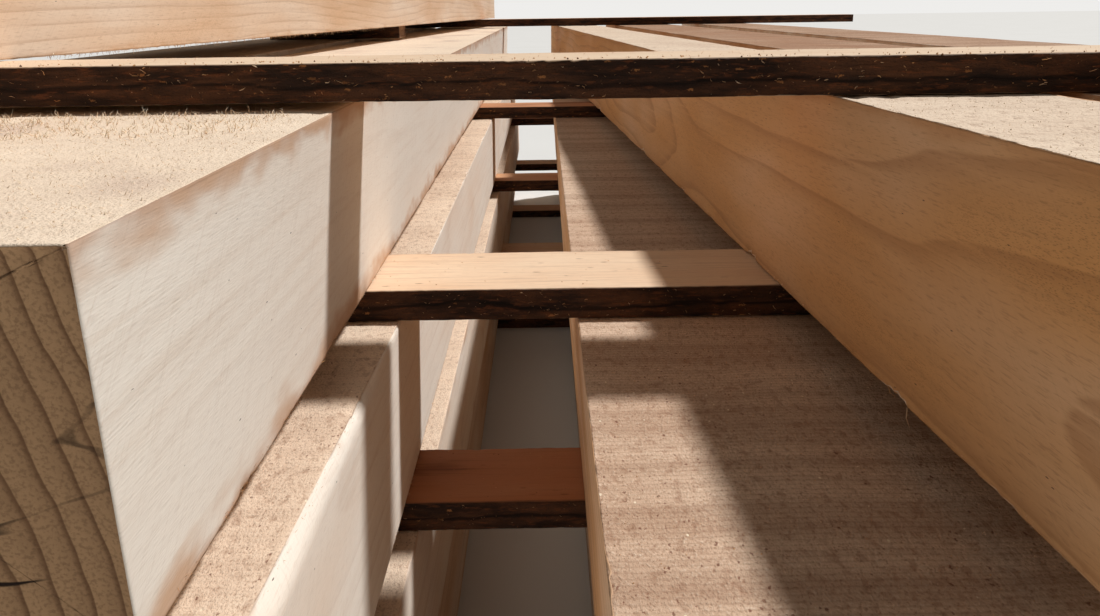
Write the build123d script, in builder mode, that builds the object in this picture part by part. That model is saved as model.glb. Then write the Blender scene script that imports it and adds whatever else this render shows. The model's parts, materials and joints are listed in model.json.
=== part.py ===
from build123d import *
from math import atan2, cos, sin, sqrt
from typing import NamedTuple
import os

# A stack of rough-sawn timbers laid up to dry in the open air. Five layers of
# thick timbers lie one above the other, and loose spacer strips lie across
# them in three rows, so that air reaches every face. A flue is left open
# between the left and the right timbers, from the bottom of the stack to the
# top. The uppermost layer is only begun: one timber lies on its left side.
#
# All sizes are in millimetres. +Y runs along the timbers, from the near end
# to the far end, +X to the right and +Z up. The origin lies on the floor under
# the middle of the stack's overall box.

# Driving sizes.
timber_length = 2600.0
spacer_thickness = 20.0

# Layer thicknesses, from the lowest layer up.
thickness_1 = 120.0
thickness_2 = 118.0
thickness_3 = 114.0
thickness_4 = 121.0
thickness_5 = 119.0

# Rows of spacers: distance from the near end, from the middle, and from the
# far end of the timbers to the middle of a strip.
near_row = 300.0
middle_row = 70.0
far_row = 290.0

# The strips that reach furthest out, measured from the middle line of the
# flue. The overall width of the stack runs from one to the other.
reach_left = 575.0
reach_right = 881.0

# A spacer is a strip sawn off the outside of a log. Its long edges are still
# the log's bark side: they lean outwards to the lower face and swell a little.
bark_lean = 2.0
bark_swell = 1.5

# A corner of a timber that was sawn near the outside of the log keeps the
# round of the log, which is called wane. The log tapers, so the wane runs out.
log_radius = 190.0
saw_overrun = 50.0

half_length = timber_length / 2
flue_x = (reach_left - reach_right) / 2
row_positions = {
    "near": -half_length + near_row,
    "middle": middle_row,
    "far": half_length - far_row,
}


class Wane(NamedTuple):
    """The log's round along one long corner: how deep it bites at each end,
    measured towards the middle of the log. Below zero it clears the corner."""

    side: str
    level: str
    near: float
    far: float


class Timber(NamedTuple):
    """One sawn timber. Its gaps run from the flue's middle line, or from the
    timber beside it, to its inner face, at the near and the far end. Lean is
    how much nearer to the flue its upper face stands than its lower one, where
    the saw didn't cut its sides square."""

    near_gap: float
    far_gap: float
    width: float
    crook: float = 0.0
    near_inset: float = 0.0
    far_inset: float = 0.0
    slack: float = 0.0
    lean: float = 0.0
    wane: Wane = None


class Spacer(NamedTuple):
    """One strip across the timbers. Its ends are measured from the flue's
    middle line, and shift is how far it lies beyond the middle of its row."""

    row: str
    width: float
    left: float
    right: float
    shift: float = 0.0


class Layer(NamedTuple):
    """A layer of timbers and the spacers that lie under it."""

    thickness: float
    spacers: list
    left: list
    right: list


layers = [
    Layer(
        thickness=thickness_1,
        spacers=[
            Spacer("near", width=80, left=548, right=632, shift=-6),
            Spacer("middle", width=76, left=556, right=624, shift=10),
            Spacer("far", width=84, left=540, right=640),
        ],
        left=[
            Timber(near_gap=95, far_gap=101, width=221, crook=-2, near_inset=9, far_inset=4),
            Timber(near_gap=15, far_gap=12, width=181, crook=3, near_inset=2, far_inset=12,
                   wane=Wane("outer", "top", near=20, far=-5)),
        ],
        right=[
            Timber(near_gap=38, far_gap=45, width=210, crook=2, near_inset=12, far_inset=6),
            Timber(near_gap=12, far_gap=18, width=162, crook=-2, near_inset=4, far_inset=15),
            Timber(near_gap=15, far_gap=14, width=176, crook=2, near_inset=8, far_inset=3,
                   wane=Wane("outer", "bottom", near=-20, far=22)),
        ],
    ),
    Layer(
        thickness=thickness_2,
        spacers=[
            Spacer("near", width=74, left=552, right=628, shift=-48),
            Spacer("middle", width=82, left=560, right=636, shift=-8),
            Spacer("far", width=78, left=544, right=622, shift=12),
        ],
        left=[
            Timber(near_gap=86, far_gap=84, width=196, crook=1, near_inset=6, far_inset=10),
            Timber(near_gap=16, far_gap=24, width=222, crook=-3, near_inset=11, far_inset=2,
                   wane=Wane("outer", "bottom", near=12, far=2)),
        ],
        right=[
            Timber(near_gap=44, far_gap=44, width=182),
            Timber(near_gap=14, far_gap=12, width=206, crook=3, near_inset=9, far_inset=11),
            Timber(near_gap=15, far_gap=20, width=140, crook=-2, near_inset=3, far_inset=7,
                   wane=Wane("outer", "top", near=4, far=14)),
        ],
    ),
    Layer(
        thickness=thickness_3,
        spacers=[
            Spacer("near", width=73, left=558, right=618, shift=13),
            Spacer("middle", width=79, left=546, right=634, shift=4),
            Spacer("far", width=81, left=562, right=626, shift=-9),
        ],
        left=[
            Timber(near_gap=93, far_gap=92, width=214, crook=1, near_inset=5, far_inset=8,
                   wane=Wane("inner", "top", near=5, far=-30)),
            Timber(near_gap=14, far_gap=18, width=190, crook=2, near_inset=13, far_inset=5),
        ],
        right=[
            Timber(near_gap=22, far_gap=29, width=232, crook=-2, near_inset=7, far_inset=12,
                   lean=3),
            Timber(near_gap=15, far_gap=22, width=150, crook=2, near_inset=2, far_inset=9),
            Timber(near_gap=14, far_gap=16, width=166, crook=-3, near_inset=10, far_inset=4,
                   wane=Wane("outer", "top", near=18, far=-6)),
        ],
    ),
    Layer(
        thickness=thickness_4,
        spacers=[
            Spacer("near", width=88, left=550, right=630, shift=54),
            Spacer("middle", width=80, left=554, right=620, shift=5),
            Spacer("far", width=76, left=542, right=638, shift=-4),
        ],
        left=[
            Timber(near_gap=112, far_gap=117, width=205, crook=1, near_inset=3, far_inset=9,
                   slack=3.5, lean=5),
            Timber(near_gap=14, far_gap=20, width=198, crook=-3, near_inset=12, far_inset=4,
                   wane=Wane("outer", "top", near=-10, far=16)),
        ],
        right=[
            Timber(near_gap=163, far_gap=24.5, width=112, near_inset=10, far_inset=10, lean=-2),
            Timber(near_gap=14, far_gap=65, width=150, crook=2, near_inset=6, far_inset=14),
            Timber(near_gap=16, far_gap=95, width=150, crook=-2, near_inset=11, far_inset=5,
                   wane=Wane("outer", "top", near=-15, far=12)),
        ],
    ),
    Layer(
        thickness=thickness_5,
        spacers=[
            Spacer("near", width=77, left=reach_left, right=626, shift=-3),
            Spacer("middle", width=72, left=480, right=-252, shift=6),
            Spacer("far", width=78, left=520, right=reach_right),
        ],
        left=[
            Timber(near_gap=338, far_gap=150, width=212, crook=2, near_inset=8, far_inset=12,
                   wane=Wane("outer", "top", near=14, far=-12)),
        ],
        right=[],
    ),
]


def sawn_timber(timber, outward, near_x, far_x, floor_z, thickness):
    """One timber whose inner face runs from near_x to far_x. Outward is -1 for
    a timber left of the flue and 1 for one right of it."""
    turn = atan2(far_x - near_x, timber_length)
    along = (sin(turn), cos(turn), 0)
    across = (cos(turn), -sin(turn), 0)
    near_y = -half_length + timber.near_inset
    start_x = near_x + timber.near_inset * sin(turn)
    length = timber_length - timber.near_inset - timber.far_inset
    width = outward * timber.width
    bow = outward * timber.crook
    height = thickness - timber.slack
    lean = -outward * timber.lean
    rise = Vector(*across) * lean + Vector(0, 0, height)
    bed = Plane(origin=(start_x, near_y, floor_z), x_dir=across, z_dir=(0, 0, 1))

    with BuildPart() as sawn:
        with BuildSketch(bed):
            with BuildLine():
                Line((0, 0), (width, 0))
                if bow:
                    ThreePointArc((width, 0), (width + bow, length / 2), (width, length))
                else:
                    Line((width, 0), (width, length))
                Line((width, length), (0, length))
                if bow:
                    ThreePointArc((0, length), (bow, length / 2), (0, 0))
                else:
                    Line((0, length), (0, 0))
            make_face()
        extrude(amount=rise.length, dir=rise)

        if timber.wane:
            wane = timber.wane
            corner_x = 0 if wane.side == "inner" else width
            inward_x = outward if wane.side == "inner" else -outward
            corner_z = 0
            inward_z = 1
            if wane.level == "top":
                corner_x += lean
                corner_z = height
                inward_z = -1
            heart_x = corner_x + inward_x * log_radius / sqrt(2)
            heart_z = corner_z + inward_z * log_radius / sqrt(2)
            growth = (wane.near - wane.far) / length
            for y in (-saw_overrun, length + saw_overrun):
                heart = bed.from_local_coords((heart_x, y, heart_z))
                round_of_log = log_radius - wane.near + growth * y
                with BuildSketch(Plane(origin=heart, x_dir=across, z_dir=along)):
                    Circle(round_of_log)
            loft(mode=Mode.INTERSECT)
    return sawn.part


def bark_edged_strip(spacer, floor_z):
    """One spacer: a flat strip with square-sawn ends and bark-side long edges."""
    middle_y = row_positions[spacer.row] + spacer.shift
    low_half = spacer.width / 2
    top_half = low_half - bark_lean
    bulge = (low_half + top_half) / 2 + bark_swell
    half_height = spacer_thickness / 2
    left_end = Plane(
        origin=(flue_x - spacer.left, middle_y, floor_z),
        x_dir=(0, 1, 0),
        z_dir=(1, 0, 0),
    )

    with BuildPart() as strip:
        with BuildSketch(left_end):
            with BuildLine():
                Line((-low_half, 0), (low_half, 0))
                ThreePointArc(
                    (low_half, 0), (bulge, half_height), (top_half, spacer_thickness)
                )
                Line((top_half, spacer_thickness), (-top_half, spacer_thickness))
                ThreePointArc(
                    (-top_half, spacer_thickness), (-bulge, half_height), (-low_half, 0)
                )
            make_face()
        extrude(amount=spacer.left + spacer.right)
    return strip.part


def keep(piece, name):
    """Label a finished piece and write it as a STEP file."""
    piece.label = name
    export_step(piece, f"parts/{name}.step")


os.makedirs("parts", exist_ok=True)

level_z = 0.0
for layer_number, layer in enumerate(layers, start=1):
    for spacer in layer.spacers:
        keep(bark_edged_strip(spacer, level_z), f"spacer_{layer_number}_{spacer.row}")
    level_z += spacer_thickness

    for side, outward, row_of_timbers in (("left", -1, layer.left), ("right", 1, layer.right)):
        near_x = flue_x
        far_x = flue_x
        for place, timber in enumerate(row_of_timbers, start=1):
            near_x += outward * timber.near_gap
            far_x += outward * timber.far_gap
            piece = sawn_timber(timber, outward, near_x, far_x, level_z, layer.thickness)
            keep(piece, f"timber_{layer_number}_{side}_{place}")
            near_x += outward * timber.width
            far_x += outward * timber.width
    level_z += layer.thickness
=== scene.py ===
# %% [markdown]
# # A stack of timber, laid up to dry
#
# The real object is five layers of thick rough-sawn timbers with loose strips
# of slab wood between them, so that air gets at every face. The solids of all
# pieces come with the frame, at their real places and sizes. Everything below
# gives those plain solids the skin of the real thing: sawn and torn faces,
# worn arrises, bark, end grain, fibres and sawdust.

# %% The frame
import json
import math
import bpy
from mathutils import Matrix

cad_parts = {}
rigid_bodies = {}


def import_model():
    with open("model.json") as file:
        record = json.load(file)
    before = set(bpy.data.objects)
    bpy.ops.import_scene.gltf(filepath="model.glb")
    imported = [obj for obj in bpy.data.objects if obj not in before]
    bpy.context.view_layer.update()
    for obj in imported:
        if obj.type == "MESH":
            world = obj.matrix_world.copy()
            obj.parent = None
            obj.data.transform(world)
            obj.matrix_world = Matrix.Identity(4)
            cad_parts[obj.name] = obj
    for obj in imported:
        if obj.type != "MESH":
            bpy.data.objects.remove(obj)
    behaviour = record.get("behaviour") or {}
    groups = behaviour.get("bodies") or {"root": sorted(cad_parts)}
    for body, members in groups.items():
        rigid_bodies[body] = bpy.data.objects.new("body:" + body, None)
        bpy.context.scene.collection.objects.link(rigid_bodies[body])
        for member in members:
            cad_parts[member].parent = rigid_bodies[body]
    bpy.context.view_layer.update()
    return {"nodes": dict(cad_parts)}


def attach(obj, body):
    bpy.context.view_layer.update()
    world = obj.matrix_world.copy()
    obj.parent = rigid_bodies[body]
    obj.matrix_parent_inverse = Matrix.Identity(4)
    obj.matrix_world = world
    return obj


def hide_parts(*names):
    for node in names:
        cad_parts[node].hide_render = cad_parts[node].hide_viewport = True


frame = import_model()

from types import SimpleNamespace

import bpy
import numpy as np
from mathutils import Matrix, Vector

MM = 0.001


# %% [markdown]
# ## The camera
#
# The eye is 175 mm before the near end of the stack and 45 mm above the fourth
# layer, and looks along the flue and down. It could be placed by aiming at an
# object, but its place and three angles are known, so the view direction and
# the picture's right and up directions are written out and become the columns
# of the camera's matrix.

# %% Camera
EYE = Vector((-0.153, -1.475, 0.597))
PITCH_DOWN = math.radians(20.094)
TURN_RIGHT = math.radians(0.230)
ROLL = math.radians(-0.806)
FOCAL_PIXELS = 816.0
IMAGE_WIDTH = 1100.0
SENSOR_WIDTH = 36.0


def aim_camera():
    """Makes the camera. Forward is the compass direction tipped down by the
    pitch; right and up are turned about it by the roll."""
    forward = Vector((
        math.sin(TURN_RIGHT) * math.cos(PITCH_DOWN),
        math.cos(TURN_RIGHT) * math.cos(PITCH_DOWN),
        -math.sin(PITCH_DOWN),
    ))
    level_right = Vector((math.cos(TURN_RIGHT), -math.sin(TURN_RIGHT), 0.0))
    level_up = level_right.cross(forward)
    right = level_right * math.cos(ROLL) + level_up * math.sin(ROLL)
    up = level_up * math.cos(ROLL) - level_right * math.sin(ROLL)

    camera = bpy.data.objects.new("camera", bpy.data.cameras.new("camera"))
    camera.data.sensor_width = SENSOR_WIDTH
    camera.data.lens = FOCAL_PIXELS / IMAGE_WIDTH * SENSOR_WIDTH
    camera.data.clip_start = 0.01
    turned = Matrix((right, up, -forward)).transposed()
    camera.matrix_world = Matrix.Translation(EYE) @ turned.to_4x4()
    bpy.context.scene.collection.objects.link(camera)
    bpy.context.scene.camera = camera
    return camera


camera = aim_camera()
print("lens", round(camera.data.lens, 1), "mm")


# %% [markdown]
# ## Shader sums as plain expressions
#
# A wood finish is a sum of rings, streaks, pores and stains. Clicking its
# nodes together works, but nobody can read it afterwards. Here a small class
# wraps one output socket and overloads the arithmetic, so a formula on values
# adds its Math nodes by itself. Colours and vectors don't go through Math
# nodes, which would turn them grey: they go through Mix and Vector Math.

# %% Shader expressions
class Shade:
    """One value or colour on its way through a material: an output socket."""

    def __init__(self, recipe, socket):
        self.recipe = recipe
        self.socket = socket

    def math(self, operation, *values):
        sockets = dict(enumerate(values))
        return self.recipe.node("Math", {"operation": operation}, sockets)

    def __add__(self, other):
        return self.math("ADD", self, other)

    def __sub__(self, other):
        return self.math("SUBTRACT", self, other)

    def __rsub__(self, other):
        return self.math("SUBTRACT", other, self)

    def __mul__(self, other):
        return self.math("MULTIPLY", self, other)

    def __truediv__(self, other):
        return self.math("DIVIDE", self, other)

    def __rtruediv__(self, other):
        return self.math("DIVIDE", other, self)

    def __pow__(self, other):
        return self.math("POWER", self, other)

    def __rpow__(self, other):
        return self.math("POWER", other, self)

    __radd__ = __add__
    __rmul__ = __mul__

    def sine(self):
        return self.math("SINE", self)

    def size(self):
        return self.math("ABSOLUTE", self)

    def fraction(self):
        return self.math("FRACT", self)

    def ramp(self, low, high):
        """0 below low, 1 above high and a smooth step between; low may be the
        larger of the two, which turns the step round."""
        sockets = {"Value": self, "From Min": low, "From Max": high}
        return self.recipe.node("MapRange", {"interpolation_type": "SMOOTHSTEP"}, sockets)


def paint(red, green, blue):
    """A colour given as 0 to 255 steps of a screen, as the linear colour that
    a shader reads."""
    steps = np.array([red, green, blue]) / 255
    linear = np.where(steps < 0.04045, steps / 12.92, ((steps + 0.055) / 1.055) ** 2.4)
    return (*linear.tolist(), 1.0)


class Recipe:
    """A node tree in the making, of a material or of the sky. A material's
    colour is laid on in coats, one over the other."""

    def __init__(self, owner):
        self.owner = owner
        self.colour = None
        owner.use_nodes = True
        self.tree = owner.node_tree
        self.tree.nodes.clear()

    def node(self, kind, settings, sockets, output=0):
        """Adds any node: its settings first, and then the value or the link of
        each socket. Gives one of its outputs."""
        made = self.tree.nodes.new("ShaderNode" + kind)
        for name, value in settings.items():
            setattr(made, name, value)
        for name, value in sockets.items():
            if isinstance(value, Shade):
                self.tree.links.new(value.socket, made.inputs[name])
            else:
                made.inputs[name].default_value = value
        return Shade(self, made.outputs[output]) if made.outputs else None

    def attribute(self, name, output="Fac"):
        """A value that the piece's own mesh carries at each of its points."""
        return self.node("Attribute", {"attribute_name": name}, {}, output)

    def parts(self, vector):
        """The three numbers of a vector."""
        split = self.node("SeparateXYZ", {}, {0: vector})
        return [Shade(self, out) for out in split.socket.node.outputs]

    def stretch(self, vector, scale):
        """The vector with each of its numbers scaled by its own factor."""
        return self.node("VectorMath", {"operation": "MULTIPLY"}, {0: vector, 1: scale})

    def noise(self, vector, scale, detail=2.0, roughness=0.5):
        """Cloudy noise about 0.5, with so many waves to the metre each way."""
        vector = self.stretch(vector, scale)
        sockets = {"Vector": vector, "Scale": 1.0, "Detail": detail, "Roughness": roughness}
        return self.node("TexNoise", {}, sockets)

    def cells(self, vector, scale):
        """Two values: the distance to the nearest of many scattered points, in
        cells, and a number from 0 to 1 that this point drew."""
        sockets = {"Vector": self.stretch(vector, scale), "Scale": 1.0}
        distance = self.node("TexVoronoi", {"feature": "F1"}, sockets, "Distance")
        drawn = Shade(self, distance.socket.node.outputs["Color"])
        return distance, self.parts(drawn)[0]

    def blend(self, share, under, over):
        """The colour over laid on the colour under by a share from 0 to 1."""
        settings = {"data_type": "RGBA", "clamp_factor": True}
        return self.node("Mix", settings, {0: share, 6: under, 7: over}, output=2)

    def coat(self, share, over):
        """One more coat: a colour over all there is, by a share from 0 to 1."""
        self.colour = self.blend(share, self.colour, over)

    def close(self, roughness, height, relief, specular=0.3):
        """Ends the material: its colour, a roughness, and a bump whose height
        of 1 stands for the given relief in metres."""
        bump = self.node("Bump", {}, {"Strength": 1.0, "Distance": relief, "Height": height})
        sockets = {"Base Color": self.colour, "Roughness": roughness, "Normal": bump}
        sockets["Specular IOR Level"] = specular
        shader = self.node("BsdfPrincipled", {}, sockets)
        self.node("OutputMaterial", {}, {"Surface": shader})
        return self.owner


def new_finish(name):
    return Recipe(bpy.data.materials.new(name))


def waves(across, along):
    """Waves to the metre each way for wood: across the grain, along it, and
    up, where it is as fine as across."""
    return across, along, across


# %% [markdown]
# ## Floor and light
#
# A pale floor runs out to a background about as pale as itself. The light
# is plain: one soft lamp high on the right and a little beyond the stack, where
# the real stack has its sun, and an even dim sky, a touch warm, that fills the
# shade. An area lamp would light the near floor more than the far one; a sun
# lamp is even all over, and its angle makes it soft. Its strength is set so
# that lamp and sky together light a level face as brightly as its colour is
# written. The background's brightness is for the camera only, so it adds no
# light.

# %% Floor and light
FLOOR_HALF = 60.0
FLOOR_LOW, FLOOR_HIGH = paint(226, 224, 219), paint(234, 232, 228)
BACKGROUND = (0.86, 0.85, 0.83, 1.0)
SKY_COLOUR = (1.0, 0.97, 0.92, 1.0)
SKY_STRENGTH = 0.13
LAMP_FROM = Vector((0.62, 0.40, 1.0)).normalized()
LAMP_ANGLE = math.radians(4.5)
LAMP_AWAY = 4.0
LAMP_STRENGTH = (1.0 - SKY_STRENGTH) * math.pi / LAMP_FROM.z


def lay_floor():
    """Four corners on the level that the stack stands on."""
    corners = np.array([[-1, -1, 0], [1, -1, 0], [1, 1, 0], [-1, 1, 0]]) * FLOOR_HALF
    mesh = bpy.data.meshes.new("floor")
    mesh.from_pydata(corners.tolist(), [], [(0, 1, 2, 3)])
    floor = bpy.data.objects.new("floor", mesh)
    bpy.context.scene.collection.objects.link(floor)

    finish = new_finish("pale_floor")
    place = finish.node("TexCoord", {}, {}, "Object")
    cloud = finish.noise(place, waves(1.5, 1.5))
    finish.colour = finish.blend(cloud, FLOOR_LOW, FLOOR_HIGH)
    mesh.materials.append(finish.close(0.9, cloud, 0.5 * MM))


def light_scene():
    """A soft sun, and a sky that the camera sees bright and that everything
    else sees dim."""
    lamp = bpy.data.objects.new("lamp", bpy.data.lights.new("lamp", "SUN"))
    lamp.data.angle = LAMP_ANGLE
    lamp.data.energy = LAMP_STRENGTH
    lamp.location = LAMP_FROM * LAMP_AWAY
    lamp.rotation_mode = "QUATERNION"
    lamp.rotation_quaternion = (-LAMP_FROM).to_track_quat("-Z", "Y")
    bpy.context.scene.collection.objects.link(lamp)

    sky = Recipe(bpy.data.worlds.new("sky"))
    seen = sky.node("LightPath", {}, {}, "Is Camera Ray")
    dim = sky.node("Background", {}, {"Color": SKY_COLOUR, "Strength": SKY_STRENGTH})
    bright = sky.node("Background", {}, {"Color": BACKGROUND, "Strength": 1.0})
    both = sky.node("MixShader", {}, {0: seen, 1: dim, 2: bright})
    sky.node("OutputWorld", {}, {"Surface": both})
    bpy.context.scene.world = sky.owner
    bpy.context.scene.view_settings.view_transform = "Standard"


lay_floor()
light_scene()
print("lamp", round(LAMP_STRENGTH, 2), "W per square metre from", np.round(LAMP_FROM, 2))


# %% [markdown]
# ## Reading a sawn length off its solid
#
# Each timber and each strip is a long body that hardly changes along its
# length. The new skin has to lie exactly on it, with the same crook, lean,
# wane and bulge. Its sizes could be typed in again, but then they could drift
# apart. Instead the solid itself is measured: slices across its long edges
# give the four arrises of the section, and rays from the middle of the slice
# find the skin between them.

# %% Measuring the solids
UP = np.array([0.0, 0.0, 1.0])
BOTTOM, RIGHT, TOP, LEFT = range(4)
QUARTERS = np.array([[-1, -1], [1, -1], [1, 1], [-1, 1]])
SLICES = 48
JUST_INSIDE = 1e-5
LEVEL = 1e-7
EDGEWISE = 1e-12


def facets_of(name):
    """The triangles of a solid: facet, corner, coordinate."""
    mesh = frame["nodes"][name].data
    places = np.empty(3 * len(mesh.vertices), dtype=np.float32)
    mesh.vertices.foreach_get("co", places)
    picks = np.empty(len(mesh.loops), dtype=np.int32)
    mesh.loops.foreach_get("vertex_index", picks)
    return places.reshape(-1, 3).astype(float)[picks].reshape(-1, 3, 3)


def long_axis(points):
    """The middle of the near and of the far end: each end's two corners are
    the points that reach furthest both lengthwise and to one side."""
    low, high = points.min(0), points.max(0)
    shares = (points - (low + high) / 2) / ((high - low) / 2)
    lengthwise = int(high[1] - low[1] > high[0] - low[0])
    ends = []
    for end in (-1, 1):
        aside = np.array([-1, 1]) * shares[:, None, 1 - lengthwise]
        corners = points[(end * shares[:, lengthwise, None] + aside).argmax(0)]
        ends.append([*corners.mean(0)[:2], (low[2] + high[2]) / 2])
    return np.array(ends)


def measure(name):
    """One sawn length: where it starts, its three directions, its length, its
    facets in those directions and, slice by slice, its four arrises: the
    cuts' points that reach furthest towards each corner of their box."""
    facets = facets_of(name)
    start, stop = long_axis(facets.reshape(-1, 3))
    length = np.linalg.norm(stop - start)
    along = (stop - start) / length
    across = np.cross(along, UP)
    turned = (facets - start) @ np.array([along, across, UP]).T

    places = np.linspace(JUST_INSIDE, length - JUST_INSIDE, SLICES)
    heads = turned.reshape(-1, 3)
    tails = turned[:, [1, 2, 0]].reshape(-1, 3)
    run = tails[:, 0] - heads[:, 0]
    run = np.where(np.abs(run) < LEVEL, np.nan, run)
    share = (places[:, None] - heads[:, 0]) / run
    share = np.where((share >= 0) & (share <= 1), share, np.nan)
    cuts = heads[:, 1:] + share[..., None] * (tails - heads)[:, 1:]

    low, high = np.nanmin(cuts, axis=1), np.nanmax(cuts, axis=1)
    placed = (cuts - ((low + high) / 2)[:, None]) / ((high - low) / 2)[:, None]
    reach = (placed[:, :, None] * QUARTERS).sum(-1)
    best = np.nanargmax(reach, axis=1)
    arrises = np.take_along_axis(cuts, best[..., None], axis=1)
    return SimpleNamespace(
        name=name, start=start, along=along, across=across, length=length,
        turned=turned, places=places, arrises=arrises,
        widths=np.linalg.norm(np.roll(arrises, -1, axis=1) - arrises, axis=-1).mean(0),
    )


def skin_rings(stock, shares, sides):
    """Points of the solid's skin: slice, point round the section, (across, up).
    A ray from the middle of the slice goes through a point of the straight
    chord between two arrises, and ends at the nearest facet that faces that
    way, which is exact on a section without hollows. Along, across and up are
    a left-handed set, so a facet's corners give its outward direction in the
    other order."""
    chord_start = stock.arrises[:, sides]
    chord_stop = stock.arrises[:, (sides + 1) % 4]
    chord = chord_start + shares[:, None] * (chord_stop - chord_start)
    middle = stock.arrises.mean(1, keepdims=True)
    rays = chord - middle

    a, b, c = np.moveaxis(stock.turned, 1, 0)
    normals = np.cross(c - a, b - a)
    spans = np.sort(stock.turned[..., 0], axis=1)[:, [0, 2]]
    here = (spans[:, 0] <= stock.places[:, None]) & (spans[:, 1] >= stock.places[:, None])
    start = np.concatenate([stock.places[:, None], middle[:, 0]], axis=1)
    gap = np.einsum("fi,sfi->sf", normals, a - start[:, None])
    facing = np.einsum("fi,ski->skf", normals[:, 1:], rays)
    facing = np.where(here[:, None] & (facing > EDGEWISE), facing, np.nan)
    reach = np.nanmin(gap[:, None] / facing, axis=-1)
    return middle + reach[..., None] * rays


stocks = {name: measure(name) for name in sorted(frame["nodes"])}
for name in ("timber_4_left_1", "timber_4_right_1", "spacer_4_near"):
    stock = stocks[name]
    print(name, "length", round(stock.length, 4), "faces", np.round(stock.widths, 4))


# %% [markdown]
# ## Random lumps
#
# No sawn face is flat. A displacement modifier with a noise texture would do,
# but it can't tell one face of a timber from the next. Value noise is simple
# enough to write out: a box of random heights fills space, and a point takes
# the smooth blend of the eight heights round it. The boxes may be long and
# thin, and then the lumps run with the grain.

# %% Random lumps
LATTICE = 32


def lumps(points, size, seed):
    """Smooth random values from -1 to 1. The point is divided by the lump's
    size; the whole part picks a box of the lattice and the fraction t, eased
    by t * t * (3 - 2 * t), blends the heights of the box's eight corners."""
    heights = np.random.default_rng(seed).uniform(-1, 1, (LATTICE,) * 3)
    cells = points / np.asarray(size)
    low = np.floor(cells).astype(int)
    t = cells - low
    t = t * t * (3 - 2 * t)
    total = np.zeros(points.shape[:-1])
    for corner in np.ndindex(2, 2, 2):
        weight = np.where(corner, t, 1 - t).prod(-1)
        total += weight * heights[tuple(np.moveaxis((low + corner) % LATTICE, -1, 0))]
    return total


# %% [markdown]
# ## One skin for every sawn length
#
# A skin is a surface with two parameters: the place along the length and the
# place round the section. Its points are close together at the arrises, where
# wood wears and splinters, and further apart on the flats. The wall's rings
# are followed by ever smaller rings over each end, down to one point, so the
# mesh is closed. Relief is only ever cut into the solid, never laid on it:
# pieces that touch still touch, and nothing grows.

# %% Skins
ARRIS_STEPS = np.array([0.0, 0.6, 1.5, 3.0]) * MM
END_RINGS = np.array([0.0, 0.7, 2.0, 6.0]) * MM
STEP_GROWTH = 1.03
SHARPEST = 0.6
WANE_SLANT = 0.35


def new_mesh(name, points, corners, sizes, smooth):
    """A mesh from its points, the corners of all its faces in one row, and
    how many of these each face has."""
    mesh = bpy.data.meshes.new(name)
    mesh.vertices.add(len(points))
    mesh.vertices.foreach_set("co", points.astype(np.float32).ravel())
    mesh.loops.add(len(corners))
    mesh.loops.foreach_set("vertex_index", corners.astype(np.int32))
    mesh.polygons.add(len(sizes))
    starts = np.concatenate([[0], sizes.cumsum()[:-1]])
    mesh.polygons.foreach_set("loop_start", starts.astype(np.int32))
    mesh.polygons.foreach_set("use_smooth", np.full(len(sizes), smooth))
    mesh.update(calc_edges=True)
    return mesh


def spread(length, step):
    """Places from one arris to just before the next: close steps at both,
    even steps between."""
    first = ARRIS_STEPS[-1] + step
    count = max(2, int(round((length - 2 * first) / step)) + 1)
    return np.concatenate([
        ARRIS_STEPS, np.linspace(first, length - first, count), length - ARRIS_STEPS[:0:-1],
    ])


def stations(length, fine, coarse, reach):
    """Places along a length: fine steps up to reach from the start, steps that
    grow from there to the coarse one, and close steps at both ends."""
    places = [*ARRIS_STEPS, ARRIS_STEPS[-1] + fine]
    step = fine
    while places[-1] + 2 * step < length - ARRIS_STEPS[-1]:
        places.append(places[-1] + step)
        if places[-1] > reach:
            step = min(coarse, step * STEP_GROWTH)
    return np.array([*places, *(length - ARRIS_STEPS[::-1])])


def along_slices(stock, rings, places):
    """The rings at any places: straight blends of the two slices beside."""
    spot = np.interp(places, stock.places, np.arange(SLICES))
    low = np.minimum(spot.astype(int), SLICES - 2)
    share = (spot - low)[:, None, None]
    return rings[low] * (1 - share) + rings[low + 1] * share


def bare_skin(stock, fine, coarse, reach, side_steps):
    """The skin before its relief, over (place, point round the section): the
    section points, the directions outward, which reach further at an arris so
    that both its faces move alike, and each point's side with its distances
    from the side's two arrises. Wane is where the skin runs slantwise."""
    rows = [spread(width, step) for width, step in zip(stock.widths, side_steps)]
    sides = np.repeat(np.arange(4), [len(row) for row in rows])
    marks = np.concatenate(rows)
    shares = marks / stock.widths[sides]
    places = stations(stock.length, fine, coarse, reach)
    ring = along_slices(stock, skin_rings(stock, shares, sides), places)

    ahead = np.roll(ring, -1, axis=1) - ring
    ahead /= np.linalg.norm(ahead, axis=-1, keepdims=True)
    behind = np.roll(ahead, 1, axis=1)
    run = ahead + behind
    half_turn = np.linalg.norm(run, axis=-1, keepdims=True) / 2
    outward = np.stack([run[..., 1], -run[..., 0]], axis=-1) / (2 * half_turn)
    mitre = 1 / np.maximum(half_turn[..., 0], SHARPEST)

    slant = np.abs(ahead).min(-1)
    return SimpleNamespace(
        stock=stock, places=places, ring=ring, outward=outward * mitre[..., None],
        sides=sides, marks=marks, rest=stock.widths[sides] - marks, wane=slant > WANE_SLANT,
    )


def placed(skin, section):
    """The points of a section over the skin: along, across and up."""
    along = np.broadcast_to(skin.places[:, None, None], (*section.shape[:2], 1))
    return np.concatenate([along, section], axis=-1)


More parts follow.
